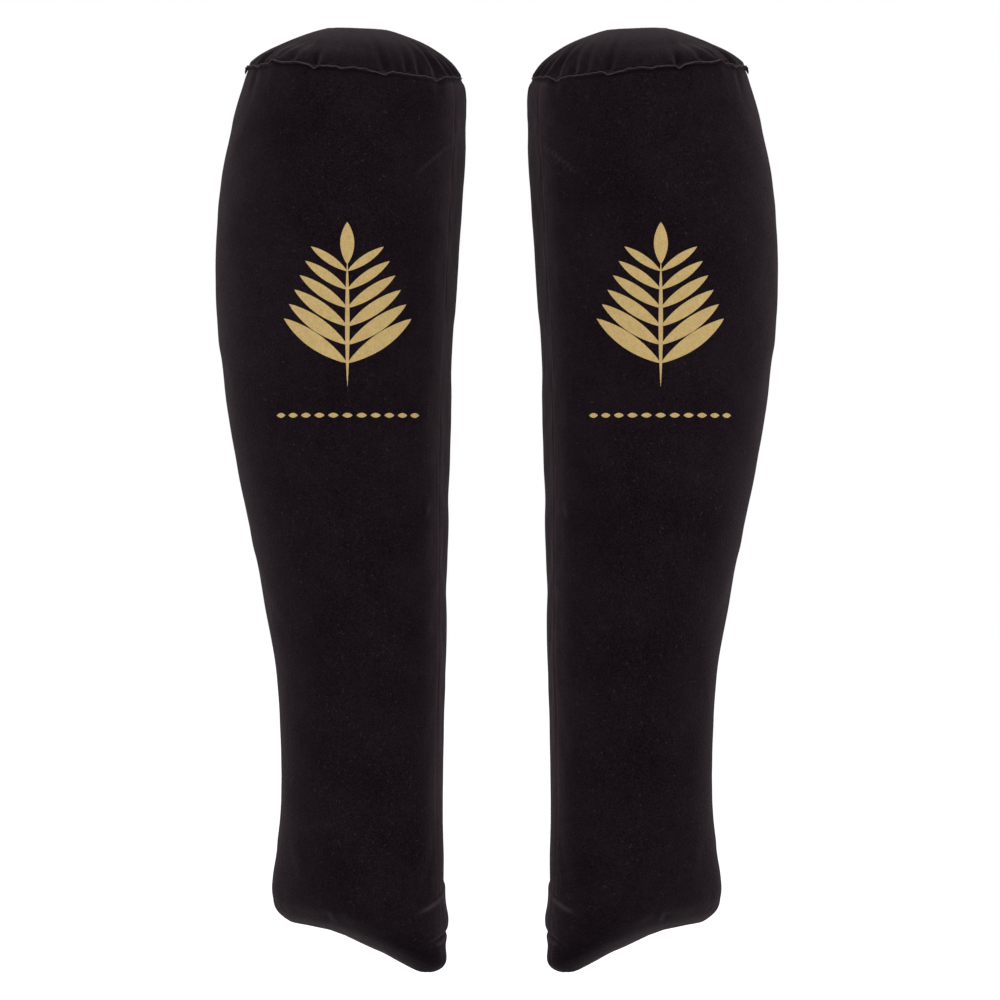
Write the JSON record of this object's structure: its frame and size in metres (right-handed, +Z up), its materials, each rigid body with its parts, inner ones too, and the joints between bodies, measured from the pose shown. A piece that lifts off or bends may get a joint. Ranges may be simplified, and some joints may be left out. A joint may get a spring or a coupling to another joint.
{
  "type": "boot shaper pair",
  "caption": "Pair of inflatable flocked boot shapers: leg-shaped chamber of two seamed panels, domed cap with ruffled weld, recessed push-in valve with tethered stopper.",
  "frame": {"origin": "where the left shaper's leg axis meets its sole, which rests on the insole of the boot that holds it", "axes": "+Z up along the leg axis from sole to cap, +X from the left shaper to the right one, -Y towards the viewer of the picture; both toes turn 25 degrees from the line between the shapers towards -Y"},
  "size_m": [0.2854, 0.1239, 0.4802],
  "materials": {
    "flocked_film": "matt black flock on vinyl film, with a low sheen",
    "weld_fin": "flocked, pressed shiny at the weld",
    "clear_film": "soft smoke-black vinyl",
    "soft_vinyl": "soft black vinyl, semi-matt"
  },
  "bodies": {
    "left_shaper": {"left_outer_panel": "flocked_film", "left_inner_panel": "flocked_film", "left_top_fin": "weld_fin", "left_top_cap": "flocked_film", "left_valve_flange": "clear_film", "left_valve_diaphragm": "clear_film"},
    "left_stem": {"left_valve_stem": "soft_vinyl", "left_stopper_tether": "soft_vinyl"},
    "left_stopper": {"left_valve_stopper": "soft_vinyl"},
    "left_flap": {"left_check_flap": "clear_film"},
    "right_shaper": {"right_outer_panel": "flocked_film", "right_inner_panel": "flocked_film", "right_top_fin": "weld_fin", "right_top_cap": "flocked_film", "right_valve_flange": "clear_film", "right_valve_diaphragm": "clear_film"},
    "right_stem": {"right_valve_stem": "soft_vinyl", "right_stopper_tether": "soft_vinyl"},
    "right_stopper": {"right_valve_stopper": "soft_vinyl"},
    "right_flap": {"right_check_flap": "clear_film"}
  },
  "joints": [
    {"name": "left_valve_pull", "type": "slide", "parent": "left_shaper", "child": "left_stem", "axis": [0.0506, -0.0236, 0.9984], "range_m": [0, 0.01], "deforming": ["left_valve_diaphragm"]},
    {"name": "left_stopper_pull", "type": "slide", "parent": "left_stem", "child": "left_stopper", "axis": [0.0506, -0.0236, 0.9984], "range_m": [0, 0.009], "deforming": ["left_stopper_tether"]},
    {"name": "left_flap_hinge", "type": "hinge", "parent": "left_stem", "child": "left_flap", "pos_m": [0.00264, -0.00123, 0.447], "axis": [-0.4226, -0.9063, 0], "range_deg": [0, 40], "stiffness_Nm_per_rad": 0.00002, "springref_deg": -17.19},
    {"name": "right_shaper_apart", "type": "slide", "parent": "left_shaper", "child": "right_shaper", "axis": [1, 0, 0], "range_m": [0, 0.12]},
    {"name": "right_valve_pull", "type": "slide", "parent": "right_shaper", "child": "right_stem", "axis": [-0.0506, -0.0236, 0.9984], "range_m": [0, 0.01], "deforming": ["right_valve_diaphragm"]},
    {"name": "right_stopper_pull", "type": "slide", "parent": "right_stem", "child": "right_stopper", "axis": [-0.0506, -0.0236, 0.9984], "range_m": [0, 0.009], "deforming": ["right_stopper_tether"]},
    {"name": "right_flap_hinge", "type": "hinge", "parent": "right_stem", "child": "right_flap", "pos_m": [0.13856, -0.00123, 0.447], "axis": [-0.4226, 0.9063, 0], "range_deg": [0, 40], "stiffness_Nm_per_rad": 0.00002, "springref_deg": -17.19}
  ]
}
